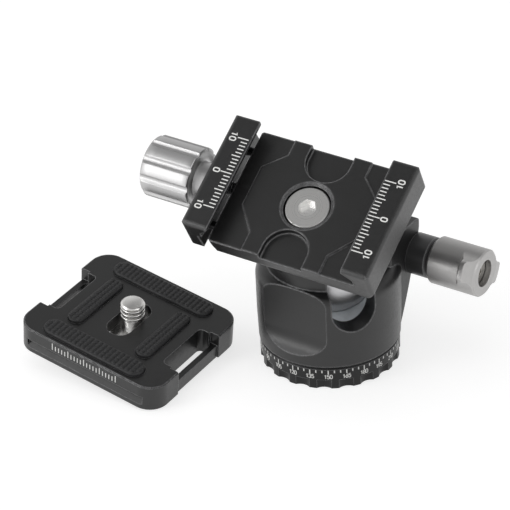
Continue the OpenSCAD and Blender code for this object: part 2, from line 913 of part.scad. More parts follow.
module jaw_washer() {
    color([0.70, 0.70, 0.71])
        in_clamp()
            on_stud_axis(movable_outer_u - jaw_washer_t)
                difference() {
                    cylinder(d = hub_d, h = jaw_washer_t);
                    translate([0, 0, -eps])
                        cylinder(d = clamp_stud_d + 2 * running_fit, h = jaw_washer_t + 2 * eps);
                }
}

module clamp_stud() {
    start = knob_outer_u + 4;
    color([0.75, 0.75, 0.76])
        in_clamp()
            on_stud_axis(start)
                cylinder(d = clamp_stud_d, h = clamp_stud_end_u - start);
}

module clamp_knob() {
    hub_end = movable_outer_u - jaw_washer_t - turn_gap;
    barrel_len = clamp_knob_len - knob_cone_len;
    color([0.86, 0.86, 0.86])
        in_clamp()
            on_stud_axis(knob_outer_u)
                difference() {
                    union() {
                        cylinder(r1 = knob_r - 0.8, r2 = knob_r, h = 0.8);
                        translate([0, 0, 0.8])
                            cylinder(r = knob_r, h = barrel_len - 1.2);
                        translate([0, 0, barrel_len - 0.4])
                            cylinder(r1 = knob_r, r2 = knob_r - 0.4, h = 0.4);
                        translate([0, 0, barrel_len - eps])
                            cylinder(r1 = knob_r - 0.9, r2 = knob_r - 1.7, h = knob_cone_len);
                        cylinder(d = hub_d, h = hub_end - knob_outer_u);
                    }
                    for (i = [0:flute_count - 1])
                        rotate([0, 0, (i + 0.5) * 360 / flute_count])
                            translate([knob_r + flute_r - flute_depth, 0, -eps])
                                cylinder(r = flute_r, h = barrel_len + eps);
                    translate([0, 0, -eps])
                        cylinder(r = knob_r - 2.6, h = 0.5);
                    translate([0, 0, 4])
                        cylinder(d = clamp_stud_d, h = cut);
                }
}

// ---- Camera plate ----

module groove_profile() {
    half = plate_w / 2;
    neck = half - groove_depth;
    polygon([
        [half + 1, -deck_h - 0.1], [neck, -deck_h - 0.1],
        [half, -deck_h - 0.1 - groove_depth], [half + 1, -deck_h - 0.1 - groove_depth]
    ]);
}

module pad_outline(size) {
    stadium(size[0], size[1]);
}

module camera_plate() {
    half_len = plate_len / 2;
    rail_inner_a = half_len - strap_rail_t;
    color([0.10, 0.10, 0.11])
        in_plate()
            difference() {
                union() {
                    translate([0, 0, -plate_h])
                        linear_extrude(plate_h - 0.3)
                            rounded_rect([plate_len, plate_w], plate_corner_r);
                    translate([0, 0, -0.3 - eps])
                        linear_extrude(0.3 + eps)
                            rounded_rect([plate_len - 0.6, plate_w - 0.6], plate_corner_r - 0.3);
                }
                // dovetail grooves, closed by stops at both ends
                for (s = [0, 180])
                    rotate([0, 0, s])
                        rotate([90, 0, 90])
                            linear_extrude(groove_len, center = true)
                                groove_profile();
                // screw slot and the pocket of its head
                translate([0, 0, -plate_h - 1])
                    linear_extrude(cut)
                        rotate(90)
                            stadium(screw_slot_len, screw_slot_w);
                translate([0, 0, -plate_h - 1])
                    linear_extrude(plate_h + 1 + slot_pocket_c)
                        rotate(90)
                            stadium(slot_pocket_w + 2 * slot_travel, slot_pocket_w);
                // strap slots and lowered rails
                for (s = [0, 180])
                    rotate([0, 0, s]) {
                        translate([rail_inner_a - strap_slot_w / 2, 0, -plate_h - 1])
                            linear_extrude(cut)
                                rounded_rect([strap_slot_w, strap_slot_len], 1.2);
                        translate([rail_inner_a - 0.6, -strap_slot_len / 2 - 0.6, -strap_rail_drop])
                            cube([cut, strap_slot_len + 1.2, cut]);
                        translate([half_len - 0.5, -strap_slot_len / 2 - 0.6, -cut / 2])
                            cube([cut, strap_slot_len + 1.2, cut]);
                    }
                // pad recesses
                translate([0, 0, -pad_seat]) {
                    for (s = [-1, 1]) {
                        translate([0, s * long_pad_b, 0])
                            linear_extrude(cut)
                                pad_outline(long_pad);
                        translate([s * short_pad_a, 0, 0])
                            linear_extrude(cut)
                                rotate(90)
                                    pad_outline(short_pad);
                    }
                }
            }
}

module pad(size) {
    color([0.13, 0.13, 0.13])
        translate([0, 0, -pad_seat])
            linear_extrude(pad_seat + pad_rise)
                pad_outline(size);
}

module pad_long_near() {
    in_plate()
        translate([0, -long_pad_b, 0])
            pad(long_pad);
}

module pad_long_far() {
    in_plate()
        translate([0, long_pad_b, 0])
            pad(long_pad);
}

module pad_short_left() {
    in_plate()
        translate([-short_pad_a, 0, 0])
            rotate([0, 0, 90])
                pad(short_pad);
}

module pad_short_right() {
    in_plate()
        translate([short_pad_a, 0, 0])
            rotate([0, 0, 90])
                pad(short_pad);
}

// ---- Camera screw ----

module slot_washer() {
    color([0.65, 0.65, 0.66])
        in_plate()
            translate([0, camera_screw_b, slot_pocket_c - slot_washer_t])
                difference() {
                    cylinder(d = camera_head_d, h = slot_washer_t - eps);
                    translate([0, 0, -eps])
                        cylinder(d = camera_neck_d + 2 * running_fit, h = slot_washer_t + 2 * eps);
                }
}

module camera_screw() {
    chamfer = 0.5;
    thread_end_c = camera_thread_h - chamfer;
    color([0.82, 0.81, 0.79])
        in_plate()
            translate([0, camera_screw_b, 0])
                difference() {
                    union() {
                        translate([0, 0, head_bottom_c])
                            cylinder(d = camera_neck_d, h = camera_thread_start - head_bottom_c + eps);
                        translate([0, 0, camera_thread_start])
                            cylinder(d = camera_thread_d, h = thread_end_c - camera_thread_start);
                        translate([0, 0, thread_end_c])
                            cylinder(d1 = camera_thread_d, d2 = camera_thread_d - 2 * chamfer, h = chamfer);
                        translate([0, 0, head_bottom_c])
                            cylinder(d = camera_head_d, h = head_top_c - head_bottom_c);
                        translate([0, 0, ring_boss_bottom_c])
                            cylinder(r = ring_boss_r, h = head_bottom_c - ring_boss_bottom_c + eps);
                    }
                    // cross hole of the D-ring
                    translate([0, 0, ring_pivot_c])
                        rotate([90, 0, 0])
                            cylinder(d = ring_wire_d + 2 * running_fit, h = cut, center = true);
                }
}

module d_ring() {
    half_w = ring_w / 2;
    wire_r = ring_wire_d / 2;
    color([0.70, 0.70, 0.71])
        in_plate()
            translate([0, camera_screw_b, ring_pivot_c])
                rotate([0, -ring_drop_angle, 0]) {
                    rotate([90, 0, 0])
                        cylinder(r = wire_r, h = ring_w, center = true);
                    for (s = [-1, 1])
                        translate([0, s * half_w, 0]) {
                            sphere(wire_r);
                            rotate([0, -90, 0])
                                cylinder(r = wire_r, h = ring_leg);
                        }
                    translate([-ring_leg, 0, 0])
                        rotate([0, 0, 90])
                            rotate_extrude(angle = 180)
                                translate([half_w, 0])
                                    circle(wire_r, $fn = 32);
                }
}

pan_base();
retainer();
housing();
ball_seat();
lock_collar();
lock_nut();
pan_drag_screw();
lock_stud();
lock_knob();
lock_knob_screw();
friction_button();
ball();
clamp_base();
centre_screw();
movable_jaw();
guide_pin_near();
guide_pin_far();
jaw_washer();
clamp_stud();
clamp_knob();
camera_plate();
pad_long_near();
pad_long_far();
pad_short_left();
pad_short_right();
slot_washer();
camera_screw();
d_ring();
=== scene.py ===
"""Looks of the compact tripod ball head with its separate camera plate.

Everything is in metres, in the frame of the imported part: Z up, the origin under the base ring,
+X along the main lock knob. Sizes written in millimetres are multiplied by MM where they are used.
"""

import json
import math

import bmesh
import bpy
from mathutils import Matrix, Vector

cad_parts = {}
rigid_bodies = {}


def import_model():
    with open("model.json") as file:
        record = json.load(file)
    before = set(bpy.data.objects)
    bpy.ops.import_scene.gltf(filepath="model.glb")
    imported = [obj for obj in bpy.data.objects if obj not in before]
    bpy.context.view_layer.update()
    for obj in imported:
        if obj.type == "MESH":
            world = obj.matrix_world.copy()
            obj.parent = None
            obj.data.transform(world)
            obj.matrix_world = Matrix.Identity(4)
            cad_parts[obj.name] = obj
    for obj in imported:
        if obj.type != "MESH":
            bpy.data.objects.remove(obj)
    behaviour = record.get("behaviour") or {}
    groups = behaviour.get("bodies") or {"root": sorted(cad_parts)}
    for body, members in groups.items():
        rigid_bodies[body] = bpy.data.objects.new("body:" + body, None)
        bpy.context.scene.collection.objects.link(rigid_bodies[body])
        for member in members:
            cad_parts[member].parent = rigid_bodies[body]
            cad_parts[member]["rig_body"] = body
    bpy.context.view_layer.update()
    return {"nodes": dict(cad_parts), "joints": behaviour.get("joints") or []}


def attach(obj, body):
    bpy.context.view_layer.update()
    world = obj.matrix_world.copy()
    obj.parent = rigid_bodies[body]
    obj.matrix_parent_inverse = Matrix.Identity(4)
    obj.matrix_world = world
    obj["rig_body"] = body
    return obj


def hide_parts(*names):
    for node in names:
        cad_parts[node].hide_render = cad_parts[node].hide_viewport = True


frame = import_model()

MM = 0.001


# ---------------------------------------------------------------- places taken from the frame

JOINTS = {joint["name"]: joint for joint in frame["joints"]}
Z_AXIS = Vector((0, 0, 1))


def axis_of(joint):
    return Vector(JOINTS[joint]["axis"]).normalized()


def point_of(joint):
    return Vector(JOINTS[joint]["pos_m"])


def extent(node, axis, origin=Vector()):
    """Lowest and highest place of a CAD node along an axis, measured from origin."""
    along = [(v.co - origin).dot(axis) for v in frame["nodes"][node].data.vertices]
    return min(along), max(along)


def reach(node, origin, axis):
    """Largest distance of a CAD node's points from the line through origin along axis."""
    offsets = (v.co - origin for v in frame["nodes"][node].data.vertices)
    return max((p - axis * p.dot(axis)).length for p in offsets)


def placement(origin, x, y, z):
    """Matrix of a local frame, from its origin and its three axes in the row frame."""
    matrix = Matrix((x, y, z)).transposed().to_4x4()
    matrix.translation = origin
    return matrix


BALL = point_of("clamp_turn")

# clamp: x across the jaws, y along them, z up, 0 at the jaws' top
CLAMP_X, CLAMP_Z = axis_of("jaw_slide"), axis_of("clamp_turn")
CLAMP_Y = CLAMP_Z.cross(CLAMP_X)
CLAMP_TOP = extent("clamp_base", CLAMP_Z, BALL)[1]
CLAMP = placement(BALL + CLAMP_Z * CLAMP_TOP, CLAMP_X, CLAMP_Y, CLAMP_Z)

# camera plate: x along it, y across it, z up, 0 at the deck's top
PLATE_Y, PLATE_Z = axis_of("screw_slide"), axis_of("screw_turn")
PLATE_X = PLATE_Y.cross(PLATE_Z)
SCREW = point_of("screw_turn")


def plate_centre():
    x0, x1 = extent("camera_plate", PLATE_X)
    y0, y1 = extent("camera_plate", PLATE_Y)
    top = extent("camera_plate", PLATE_Z)[1]
    return PLATE_X * (x0 + x1) / 2 + PLATE_Y * (y0 + y1) / 2 + PLATE_Z * top


PLATE = placement(plate_centre(), PLATE_X, PLATE_Y, PLATE_Z)
PLATE_HALF_W = extent("camera_plate", PLATE_Y, plate_centre())[1]

LOCK_POINT, LOCK_AXIS = point_of("lock_knob_turn"), axis_of("lock_knob_turn")
KNOB_POINT = point_of("clamp_knob_turn")


# ---------------------------------------------------------------- meshes

def flat_faces(outlines, thickness):
    """Closed thin solids from flat outlines, each with its top at z = 0."""
    bm = bmesh.new()
    for outline in outlines:
        bm.faces.new([bm.verts.new((x, y, 0)) for x, y in outline])
    bmesh.ops.recalc_face_normals(bm, faces=bm.faces)
    for face in bm.faces:
        if face.normal.z < 0:
            face.normal_flip()
    top = list(bm.faces)
    made = bmesh.ops.extrude_face_region(bm, geom=top, use_keep_orig=True)
    below = [v for v in made["geom"] if isinstance(v, bmesh.types.BMVert)]
    bmesh.ops.translate(bm, vec=(0, 0, -thickness), verts=below)
    bmesh.ops.recalc_face_normals(bm, faces=bm.faces)
    return bm


def add_piece(name, bm, where, body, material, smooth_angle=None):
    """Makes a piece from a bmesh whose points are in the local frame `where`."""
    mesh = bpy.data.meshes.new(name)
    bm.to_mesh(mesh)
    bm.free()
    piece = bpy.data.objects.new(name, mesh)
    bpy.context.scene.collection.objects.link(piece)
    piece.matrix_world = where
    mesh.materials.append(material)
    if smooth_angle is not None:
        smooth(mesh, smooth_angle)
    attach(piece, body)
    return piece


def smooth(mesh, angle):
    """Shades smooth, with edges sharper than the angle kept sharp."""
    mesh.shade_smooth()
    mesh.set_sharp_from_angle(angle=math.radians(angle))


def join_rings(bm, rings, bore=False):
    """Faces between rings with as many points each, every next one above the last.

    With bore the last ring joins the first one, otherwise both ends are closed."""
    count = len(rings[0])
    pairs = list(zip(rings, rings[1:])) + ([(rings[-1], rings[0])] if bore else [])
    for low, high in pairs:
        for i in range(count):
            j = (i + 1) % count
            bm.faces.new((low[i], low[j], high[j], high[i]))
    if not bore:
        bm.faces.new(rings[-1])
        bm.faces.new(list(reversed(rings[0])))


def rectangle(x, y, length, width):
    """Outline centred on (x, y), length along Y and width along X."""
    return [(x - width / 2, y - length / 2), (x + width / 2, y - length / 2),
            (x + width / 2, y + length / 2), (x - width / 2, y + length / 2)]


def ribbon(path, width):
    """Outlines of the quads that follow an open path at a constant width."""
    last = len(path) - 1
    sides = []
    for i, (x, y) in enumerate(path):
        before, after = path[max(i - 1, 0)], path[min(i + 1, last)]
        dx, dy = after[0] - before[0], after[1] - before[1]
        size = math.hypot(dx, dy)
        nx, ny = -dy / size * width / 2, dx / size * width / 2
        sides.append(((x + nx, y + ny), (x - nx, y - ny)))
    return [(a[0], a[1], b[1], b[0]) for a, b in zip(sides, sides[1:])]


def arc(cx, cy, rx, ry, start, end, steps=14):
    """Points of an elliptic arc, in degrees."""
    turns = [math.radians(start + (end - start) * i / steps) for i in range(steps + 1)]
    return [(cx + rx * math.cos(t), cy + ry * math.sin(t)) for t in turns]


# strokes of the digits as paths, x to the right and y up, in shares of a digit's height
GLYPH_WIDTH = 0.56
GLYPHS = {
    "0": [arc(0.28, 0.70, 0.26, 0.30, 0, 180) + arc(0.28, 0.30, 0.26, 0.30, 180, 360)
          + [(0.54, 0.70)]],
    "1": [[(0.08, 0.76), (0.32, 1.0), (0.32, 0.0)]],
    "2": [arc(0.28, 0.74, 0.25, 0.26, 170, -35) + [(0.02, 0.0), (0.55, 0.0)]],
    "3": [arc(0.26, 0.75, 0.24, 0.25, 160, -90), arc(0.26, 0.26, 0.27, 0.26, 90, -160)],
    "4": [[(0.42, 0.0), (0.42, 1.0), (0.0, 0.28), (0.56, 0.28)]],
    "5": [[(0.50, 1.0), (0.10, 1.0), (0.05, 0.52)] + arc(0.26, 0.32, 0.28, 0.32, 130, -150)],
    "6": [[(0.44, 1.0), (0.10, 0.50)] + arc(0.28, 0.30, 0.26, 0.30, 145, 505)],
    "7": [[(0.02, 1.0), (0.54, 1.0), (0.18, 0.0)]],
    "8": [arc(0.28, 0.76, 0.22, 0.24, 0, 360), arc(0.28, 0.26, 0.27, 0.26, 0, 360)],
    "9": [[(0.12, 0.0), (0.46, 0.50)] + arc(0.28, 0.70, 0.26, 0.30, -35, 325)],
}


def number_outlines(text, height, stroke, stretch=1.0, advance=0.66):
    """Quads of a number written from left to right, centred on X and standing on Y = 0.

    The digits are stretched sideways, and advance is their spacing as a share of the height."""
    total = ((len(text) - 1) * advance + GLYPH_WIDTH * stretch) * height
    quads = []
    for place, digit in enumerate(text):
        left = -total / 2 + place * advance * height
        for path in GLYPHS[digit]:
            scaled = [(left + x * stretch * height, y * height) for x, y in path]
            quads += ribbon(scaled, stroke)
    return quads


def moved(outlines, matrix):
    """Flat outlines moved by a 4x4 matrix within their plane."""
    return [[tuple((matrix @ Vector((x, y, 0))).to_2d()) for x, y in outline]
            for outline in outlines]


# a thread's profile over one turn: how high its cut-off peak would reach, and how fast it falls
THREAD_PEAK, THREAD_FALL = 1.6, 3.2


def thread_mesh(major_r, minor_r, pitch, length, chamfer,
                columns=72, rows_per_turn=10, inward=None):
    """A screw thread along Z from 0 to length, closed at both ends.

    With inward, a wall radius, the thread lies on the inside of a ring of that outer radius."""
    bm = bmesh.new()
    rows = int(length / pitch * rows_per_turn)
    rings = []
    for row in range(rows + 1):
        z = length * row / rows
        ring = []
        for column in range(columns):
            turn = column / columns
            phase = (z / pitch - turn) % 1.0
            rise = min(1.0, max(0.0, THREAD_PEAK - THREAD_FALL * abs(phase - 0.5)))
            rise = rise * rise * (3 - 2 * rise)     # eased, so that crest and root are round
            radius = minor_r + (major_r - minor_r) * rise
            if inward:
                radius = major_r + minor_r - radius
            else:
                radius = min(radius, major_r - chamfer + (length - z), major_r - chamfer + z)
            angle = 2 * math.pi * turn
            ring.append(bm.verts.new((radius * math.cos(angle), radius * math.sin(angle), z)))
        rings.append(ring)
    if inward:
        walls = [[bm.verts.new((inward * math.cos(2 * math.pi * c / columns),
                                inward * math.sin(2 * math.pi * c / columns), z))
                  for c in range(columns)] for z in (length, 0)]
        rings += walls
    join_rings(bm, rings, bore=inward is not None)
    bmesh.ops.recalc_face_normals(bm, faces=bm.faces)
    return bm


# ---------------------------------------------------------------- materials

NOISE_LOW, NOISE_HIGH = 0.3, 0.7        # most of a noise's values lie between these
EDGE_NONE, EDGE_FULL = 0.998, 0.92      # cosine to the rounded normal off an edge and on it
BEVEL_SAMPLES = 6


class Graph:
    """A small helper round a material's node tree."""

    def __init__(self, name):
        self.material = bpy.data.materials.new(name)
        self.material.use_nodes = True
        self.tree = self.material.node_tree
        self.shader = self.tree.nodes["Principled BSDF"]
        self.place = self.node("ShaderNodeTexCoord").outputs["Object"]

    def node(self, kind, **settings):
        made = self.tree.nodes.new(kind)
        for key, value in settings.items():
            setattr(made, key, value)
        return made

    def link(self, output, socket):
        self.tree.links.new(output, socket)

    def noise(self, grain, detail=3.0, vector=None):
        """Noise whose features are about `grain` millimetres across."""
        made = self.node("ShaderNodeTexNoise")
        made.inputs["Scale"].default_value = 1 / (grain * MM)
        made.inputs["Detail"].default_value = detail
        self.link(vector or self.place, made.inputs["Vector"])
        return made.outputs["Fac"]

    def fit(self, value, low, high, to_low, to_high):
        """Maps a value from one range to another and clamps it."""
        made = self.node("ShaderNodeMapRange")
        sockets = ("From Min", "From Max", "To Min", "To Max")
        for socket, number in zip(sockets, (low, high, to_low, to_high)):
            made.inputs[socket].default_value = number
        self.link(value, made.inputs["Value"])
        return made.outputs["Result"]

    def uneven(self, value, low, high):
        """A noise value spread from low to high."""
        return self.fit(value, NOISE_LOW, NOISE_HIGH, low, high)

    def mix(self, factor, first, second):
        """Mixes two colours; each is a tuple or an output."""
        made = self.node("ShaderNodeMix", data_type="RGBA")
        self.link(factor, made.inputs["Factor"])
        for socket, colour in ((made.inputs[6], first), (made.inputs[7], second)):
            if isinstance(colour, tuple):
                socket.default_value = (*colour, 1)
            else:
                self.link(colour, socket)
        return made.outputs[2]

    def math(self, operation, first, second):
        made = self.node("ShaderNodeMath", operation=operation)
        self.link(first, made.inputs[0])
        if isinstance(second, (int, float)):
            made.inputs[1].default_value = second
        else:
            self.link(second, made.inputs[1])
        return made.outputs[0]

    def vector(self, operation, first, second):
        made = self.node("ShaderNodeVectorMath", operation=operation)
        self.link(first, made.inputs[0])
        if isinstance(second, (tuple, Vector)):
            made.inputs[1].default_value = second
        elif second is not None:
            self.link(second, made.inputs[1])
        return made

    def rounded(self, radius):
        """Normal with edges rounded over a radius in millimetres."""
        made = self.node("ShaderNodeBevel", samples=BEVEL_SAMPLES)
        made.inputs["Radius"].default_value = radius * MM
        return made.outputs["Normal"]

    def edges(self, radius):
        """1 along edges that are rounded over that radius, 0 elsewhere."""
        true_normal = self.node("ShaderNodeNewGeometry").outputs["True Normal"]
        same = self.vector("DOT_PRODUCT", self.rounded(radius), true_normal).outputs["Value"]
        return self.fit(same, EDGE_NONE, EDGE_FULL, 0.0, 1.0)

    def bump(self, height, depth, normal=None):
        """Bump of a height from 0 to 1, depth in millimetres."""
        made = self.node("ShaderNodeBump")
        made.inputs["Distance"].default_value = depth * MM
        made.inputs["Strength"].default_value = 1.0
        self.link(height, made.inputs["Height"])
        if normal:
            self.link(normal, made.inputs["Normal"])
        return made.outputs["Normal"]

    def distance(self, origin, axis):
        """How far a point lies from an axis, and how far along it."""
        offset = self.vector("SUBTRACT", self.place, tuple(origin)).outputs["Vector"]
        along = self.vector("DOT_PRODUCT", offset, tuple(axis)).outputs["Value"]
        radial = self.vector("CROSS_PRODUCT", offset, tuple(axis)).outputs["Vector"]
        return self.vector("LENGTH", radial, None).outputs["Value"], along

    def turned(self, origin, axis, pitch):
        """Noise that stays the same round an axis, as lathe marks do; pitch in millimetres."""
        distance, along = self.distance(origin, axis)
        flat = self.node("ShaderNodeCombineXYZ")
        self.link(along, flat.inputs["X"])
        self.link(distance, flat.inputs["Y"])
        return self.noise(pitch, 2.0, flat.outputs["Vector"])

    def finish(self, colour, roughness, normal, metallic=0.0, specular=0.5):
        """Connects the shader's inputs and returns the material."""
        self.link(colour, self.shader.inputs["Base Color"])
        self.link(roughness, self.shader.inputs["Roughness"])
        self.link(normal, self.shader.inputs["Normal"])
        self.shader.inputs["Metallic"].default_value = metallic
        self.shader.inputs["Specular IOR Level"].default_value = specular
        return self.material


def tinted(colour, factor):
    return tuple(min(1.0, part * factor) for part in colour)


EDGE_WEAR_AND_HIGHLIGHT = (0.24, 0.24, 0.245)            # black anodising at an edge: partly worn, partly a painted highlight
# near-white colour of a painted highlight on the middle of a turned part
PAINTED_GLINT = (0.97, 0.965, 0.95)


def black_anodised(name, grain=0.12, base=0.007, roughness=0.36, specular=0.6, edge=0.3, soft=0.3):
    """Bead-blasted black anodised aluminium: fine grain, faint mottling, edges lighter, partly
    from wear and partly as a painted highlight.

    The grain, the width of a lighter edge and the radius of a soft one are in millimetres."""
    g = Graph(name)
    patches = g.fit(g.noise(1.1), 0.35, 0.65, 0.45, 1.0)
    # lighter edges: partly wear, partly a painted highlight where edges catch the light
    edge_wear_and_highlight = g.math("MULTIPLY", g.edges(edge), patches)
    body = g.mix(g.noise(5.0), (base * 0.8,) * 3, (base * 1.25, base * 1.25, base * 1.3))
    colour = g.mix(edge_wear_and_highlight, body, EDGE_WEAR_AND_HIGHLIGHT)
    rough = g.uneven(g.noise(0.7), roughness - 0.04, roughness + 0.05)
    normal = g.bump(g.noise(grain, 4.0), 0.012, g.rounded(soft))
    return g.finish(colour, rough, normal, specular=specular)


def turned_metal(name, colour, roughness, origin, axis, pitch=0.09, depth=0.004, painted_glint_r=0):
    """Metal with fine lathe marks round an axis, and a painted highlight over its middle, out to a
    radius given in millimetres.
    """
    g = Graph(name)
    dark = tinted(colour, 0.9)
    marks = g.turned(origin, axis, pitch)
    shade = g.mix(g.uneven(marks, 0.0, 1.0), dark, colour)
    shade = g.mix(g.fit(g.noise(3.0), 0.3, 0.8, 0.0, 0.35), shade, dark)
    rough = g.uneven(marks, roughness + 0.04, roughness - 0.04)
    # the middle painted lighter: a painted highlight
    if painted_glint_r:
        radius = g.distance(origin, axis)[0]
        middle = g.fit(radius, painted_glint_r * MM, painted_glint_r * 1.04 * MM, 1.0, 0.0)
        shade = g.mix(middle, shade, PAINTED_GLINT)
    normal = g.bump(marks, depth, g.rounded(0.12))
    return g.finish(shade, rough, normal, metallic=1.0)


def satin_metal(name, colour, roughness):
    """Blasted metal without a direction, lighter along its edges."""
    g = Graph(name)
    shade = g.mix(g.noise(2.5), tinted(colour, 0.9), colour)
    shade = g.mix(g.math("MULTIPLY", g.edges(0.3), 0.5), shade, tinted(colour, 1.35))
    rough = g.uneven(g.noise(0.8), roughness - 0.04, roughness + 0.04)
    normal = g.bump(g.noise(0.1, 3.0), 0.006, g.rounded(0.2))
    return g.finish(shade, rough, normal, metallic=1.0)


def moulded(name, colour, roughness, grain, depth):
    """Matt rubber or plastic with a fine grain; grain and depth are in millimetres."""
    g = Graph(name)
    shade = g.mix(g.noise(1.8), tinted(colour, 0.8), tinted(colour, 1.15))
    rough = g.uneven(g.noise(0.6), roughness - 0.06, roughness + 0.06)
    normal = g.bump(g.noise(grain, 4.0), depth, g.rounded(0.08))
    return g.finish(shade, rough, normal, specular=0.4)


def ink(name, colour):
    """White laser or print marks, a little uneven."""
    g = Graph(name)
    worn = g.fit(g.noise(0.25), 0.35, 0.75, 0.0, 0.5)
    shade = g.mix(worn, colour, tinted(colour, 0.75))
    rough = g.uneven(g.noise(0.5), 0.5, 0.65)
    normal = g.bump(g.noise(0.1), 0.004)
    return g.finish(shade, rough, normal, specular=0.3)


STEEL = (0.62, 0.60, 0.57)
# steel painted dark: painted shade for the gap between the jaws, where the clamp stud shows
GAP_SHADE_STEEL = (0.07, 0.07, 0.072)
HERE = Vector()                         # the origin of a piece's own coordinates
BLACK = black_anodised("black_anodised")
HOUSING_BLACK = black_anodised("black_anodised_housing", specular=0.62, edge=0.7, soft=0.7)
BASE_BLACK = black_anodised("black_anodised_base", specular=0.35)
COLLAR_BLACK = black_anodised("black_anodised_collar", base=0.03, specular=0.8, edge=0.5)
CLAMP_BLACK = black_anodised("black_anodised_clamp", specular=0.80, edge=0.6, soft=0.9)
DECK_BLACK = black_anodised("black_anodised_plate", grain=0.10, roughness=0.33)
WHITE_MARK = ink("white_marks", (0.92, 0.92, 0.90))
PAD_RUBBER = moulded("pad_rubber", (0.024, 0.024, 0.025), 0.5, 0.15, 0.02)
SEAT = moulded("seat_nylon", (0.80, 0.84, 0.87), 0.45, 0.2, 0.008)
BUTTON = moulded("button_nylon", (0.62, 0.61, 0.56), 0.5, 0.2, 0.01)
BALL_METAL = satin_metal("ball_satin", (0.56, 0.56, 0.57), 0.38)
TITANIUM = satin_metal("titanium_anodised", (0.46, 0.453, 0.447), 0.43)
BRIGHT = turned_metal("bright_aluminium", (0.60, 0.597, 0.597), 0.44, HERE, Z_AXIS,
                      pitch=0.15, depth=0.0008)
# the centre screw's middle gets a painted highlight over its hex socket
CENTRE_STEEL = turned_metal("stainless_centre_screw", (0.86, 0.855, 0.84), 0.30, BALL, CLAMP_Z,
                            depth=0.002, painted_glint_r=2.3)
LOCK_STEEL = turned_metal("stainless_lock", STEEL, 0.25, LOCK_POINT, LOCK_AXIS)
JAW_STEEL = turned_metal("stainless_jaw", STEEL, 0.25, KNOB_POINT, CLAMP_X)
BASE_STEEL = turned_metal("stainless_base", STEEL, 0.30, HERE, Z_AXIS)
PLATE_STEEL = turned_metal("stainless_camera_screw", (0.80, 0.79, 0.77), 0.22, SCREW, PLATE_Z)
# the clamp stud and the guide pins painted dark, as painted shade in the gap between the jaws
DARK_STEEL = turned_metal("steel_dark_gap_shade", GAP_SHADE_STEEL, 0.32, KNOB_POINT, CLAMP_X)
DARK_THREAD = turned_metal("steel_dark_gap_shade_thread", GAP_SHADE_STEEL, 0.32, HERE, Z_AXIS)
THREAD_STEEL = turned_metal("stainless_thread", (0.88, 0.87, 0.85), 0.30, HERE, Z_AXIS,
                            pitch=0.25, depth=0.0006)

NODE_MATERIALS = {
    "pan_base": BASE_BLACK, "retainer": BASE_STEEL, "housing": HOUSING_BLACK,
    "ball_seat": SEAT, "lock_collar": COLLAR_BLACK, "lock_nut": LOCK_STEEL,
    "pan_drag_screw": LOCK_STEEL, "lock_stud": LOCK_STEEL, "lock_knob": TITANIUM,
    "lock_knob_screw": LOCK_STEEL, "friction_button": BUTTON, "ball": BALL_METAL,
    "clamp_base": CLAMP_BLACK, "centre_screw": CENTRE_STEEL, "movable_jaw": CLAMP_BLACK,
    "guide_pin_near": DARK_STEEL, "guide_pin_far": DARK_STEEL, "jaw_washer": JAW_STEEL,
    "clamp_stud": JAW_STEEL, "clamp_knob": BRIGHT, "camera_plate": DECK_BLACK,
    "pad_long_near": PAD_RUBBER, "pad_long_far": PAD_RUBBER, "pad_short_left": PAD_RUBBER,
    "pad_short_right": PAD_RUBBER, "slot_washer": PLATE_STEEL, "camera_screw": PLATE_STEEL,
    "d_ring": PLATE_STEEL,
}
CAD_SMOOTH = 28                         # degrees: sharper edges of the CAD nodes stay sharp

for name, node in frame["nodes"].items():
    node.data.materials.clear()
    node.data.materials.append(NODE_MATERIALS[name])
    smooth(node.data, CAD_SMOOTH)


# ---------------------------------------------------------------- scales and numbers

MARK_DEPTH = 0.04 * MM
MARK_PROUD = 0.012 * MM
SCALE_END = 10                          # the clamp's and the plate's scales go from -10 to 10 mm
MOVABLE_SCALE_X = -19.46 * MM           # where the ticks begin at the lips of the two jaws
FIXED_SCALE_X = 17.85 * MM


def lifted(matrix):
    """The local frame moved up so that marks stand a hair proud of the surface."""
    return matrix @ Matrix.Translation((0, 0, MARK_PROUD))


def jaw_scale(name, body, inner_x, side):
    """21 ticks 1 mm apart along a jaw's lip, with 10, 0 and 10 beside the long ones."""
    minor, middle, major, line = 1.75 * MM, 2.35 * MM, 3.0 * MM, 0.29 * MM
    digit_height, digit_stroke, gap = 1.62 * MM, 0.34 * MM, 0.35 * MM
    stretch, advance = 1.15, 0.84
    outlines = []
    for mark in range(-SCALE_END, SCALE_END + 1):
        length = major if mark % 10 == 0 else middle if mark % 5 == 0 else minor
        outlines.append(rectangle(inner_x + side * length / 2, mark * MM, line, length))
    for mark in (-SCALE_END, 0, SCALE_END):
        number = number_outlines(str(abs(mark)), digit_height, digit_stroke, stretch, advance)
        foot = Vector((inner_x + side * (major + gap + digit_height), mark * MM, 0))
        turn = Matrix.Rotation(side * math.pi / 2, 4, "Z")
        outlines += moved(number, Matrix.Translation(foot) @ turn)
    bm = flat_faces(outlines, MARK_DEPTH)
    add_piece(name, bm, lifted(CLAMP), body, WHITE_MARK)


jaw_scale("scale_movable_jaw", "movable_jaw", MOVABLE_SCALE_X, -1)
jaw_scale("scale_fixed_jaw", "clamp", FIXED_SCALE_X, 1)


def plate_scale():
    """21 ticks 1 mm apart on the plate's near side."""
    short, long, line, foot = 1.5 * MM, 2.1 * MM, 0.30 * MM, -2.87 * MM
    outlines = []
    for mark in range(-SCALE_END, SCALE_END + 1):
        length = long if mark % 5 == 0 else short
        outlines.append(rectangle(mark * MM, foot + length / 2, length, line))
    bm = flat_faces(outlines, MARK_DEPTH)
    side = PLATE @ Matrix.Translation((0, -PLATE_HALF_W, 0)) @ Matrix.Rotation(math.pi / 2, 4, "X")
    add_piece("scale_plate", bm, lifted(side), "camera_plate", WHITE_MARK)


plate_scale()


